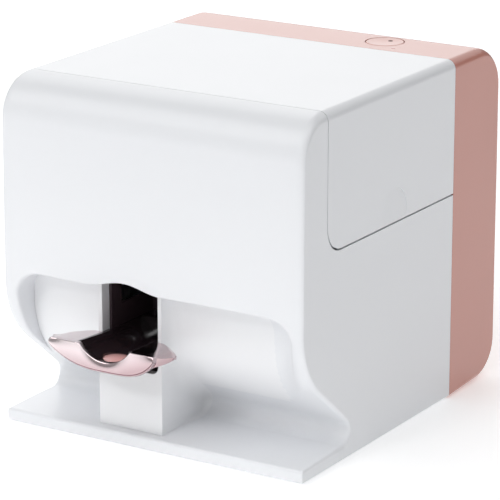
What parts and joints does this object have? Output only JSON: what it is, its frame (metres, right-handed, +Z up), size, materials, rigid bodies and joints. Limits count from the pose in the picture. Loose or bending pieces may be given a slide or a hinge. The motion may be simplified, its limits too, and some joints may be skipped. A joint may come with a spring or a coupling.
{
  "type": "nail printer",
  "caption": "Desktop nail printer: rounded body with a recessed finger port and lever, hinged lid, power button and an inner print carriage.",
  "frame": {"origin": "centre of the bounding box on the surface it stands on", "axes": "+Z up, front faces -Y, +X to the right seen from the front"},
  "size_m": [0.21, 0.264, 0.2172],
  "materials": {
    "white_shell": "glossy white moulding",
    "pink_shell": "satin pearl pink moulding",
    "rose_chrome": "mirror-like rose-gold plating",
    "black_gloss": "glossy black moulding",
    "black_matte": "matte black moulding",
    "dark_plastic": "matte dark grey moulding",
    "pad_pink": "glossy rose insert",
    "sheet_steel": "zinc-plated sheet steel",
    "ground_steel": "ground and polished steel",
    "bronze": "sintered bronze",
    "rubber": "matte black rubber",
    "board_green": "solder mask",
    "magnet": "nickel-plated magnet",
    "lamp": "translucent light pipe"
  },
  "bodies": {
    "housing": {"main_shell": "white_shell", "recess_panel": "white_shell", "rear_shell": "pink_shell", "base_plate": "dark_plastic", "rubber_feet": "rubber", "base_screws": "sheet_steel", "strike_plate": "sheet_steel", "hinge_pins": "ground_steel", "button_spring": "ground_steel", "switch_board": "board_green", "status_lamp": "lamp", "guide_pins": "ground_steel", "cradle_springs": "ground_steel", "finger_chamber": "black_matte", "chassis_floor": "sheet_steel", "chassis_left": "sheet_steel", "chassis_right": "sheet_steel", "chassis_front": "sheet_steel", "chassis_rear": "sheet_steel", "stage_rods": "ground_steel", "stage_motor": "sheet_steel", "service_station": "dark_plastic", "cap_pad": "rubber", "wiper_blade": "rubber", "main_board": "board_green", "board_parts": "dark_plastic", "power_inlet": "dark_plastic", "board_screws": "sheet_steel"},
    "lid": {"lid": "white_shell", "lid_magnet": "magnet"},
    "power_button": {"power_button": "pink_shell"},
    "finger_lever": {"finger_cradle": "black_gloss", "lever_wings": "rose_chrome", "lever_front": "rose_chrome", "finger_pad": "pad_pink"},
    "stage": {"stage_block_left": "black_matte", "stage_block_right": "black_matte", "carriage_rods": "ground_steel", "stage_beam": "sheet_steel", "drive_belt": "rubber", "idler_pin": "ground_steel", "carriage_motor": "sheet_steel", "lead_nut": "bronze"},
    "drive_pulley": {"drive_pulley": "dark_plastic"},
    "idler_pulley": {"idler_pulley": "dark_plastic"},
    "carriage": {"carriage": "black_matte", "rod_bushes": "bronze", "ink_cartridge": "dark_plastic", "latch_pin": "ground_steel", "nail_camera": "dark_plastic"},
    "cartridge_latch": {"cartridge_latch": "dark_plastic"},
    "lead_screw": {"lead_screw": "ground_steel"}
  },
  "joints": [
    {"name": "lid_hinge", "type": "hinge", "parent": "housing", "child": "lid", "pos_m": [-0.099, -0.005, 0.2112], "axis": [0, -1, 0], "range_deg": [0, 80]},
    {"name": "button_press", "type": "slide", "parent": "housing", "child": "power_button", "axis": [0, 0, 1], "range_m": [-0.0008, 0], "stiffness_N_per_m": 250, "springref_m": 0.002, "deforming": ["button_spring"]},
    {"name": "lever_press", "type": "slide", "parent": "housing", "child": "finger_lever", "axis": [0, 0, 1], "range_m": [-0.006, 0], "stiffness_N_per_m": 300, "springref_m": 0.005, "deforming": ["cradle_springs"]},
    {"name": "stage_slide", "type": "slide", "parent": "housing", "child": "stage", "axis": [0, 1, 0], "range_m": [-0.024, 0]},
    {"name": "carriage_slide", "type": "slide", "parent": "stage", "child": "carriage", "axis": [1, 0, 0], "range_m": [-0.07, 0]},
    {"name": "latch_hinge", "type": "hinge", "parent": "carriage", "child": "cartridge_latch", "pos_m": [0.034, -0.025, 0.1412], "axis": [-1, 0, 0], "range_deg": [0, 100]},
    {"name": "drive_spin", "type": "hinge", "parent": "stage", "child": "drive_pulley", "pos_m": [0.06, 0.01, 0.1332], "axis": [0, 1, 0], "range_deg": [-5, 540]},
    {"name": "idler_spin", "type": "hinge", "parent": "stage", "child": "idler_pulley", "pos_m": [-0.076, 0.01, 0.1332], "axis": [0, 1, 0], "range_deg": [-5, 540]},
    {"name": "screw_spin", "type": "hinge", "parent": "housing", "child": "lead_screw", "pos_m": [0.076, -0.008, 0.0932], "axis": [0, 1, 0], "range_deg": [-1090, 5]}
  ],
  "couplings": [
    {"joint": "drive_spin", "follows": "carriage_slide", "rad_per_m": -130.7},
    {"joint": "idler_spin", "follows": "carriage_slide", "rad_per_m": -130.7},
    {"joint": "screw_spin", "follows": "stage_slide", "rad_per_m": 785.4}
  ]
}
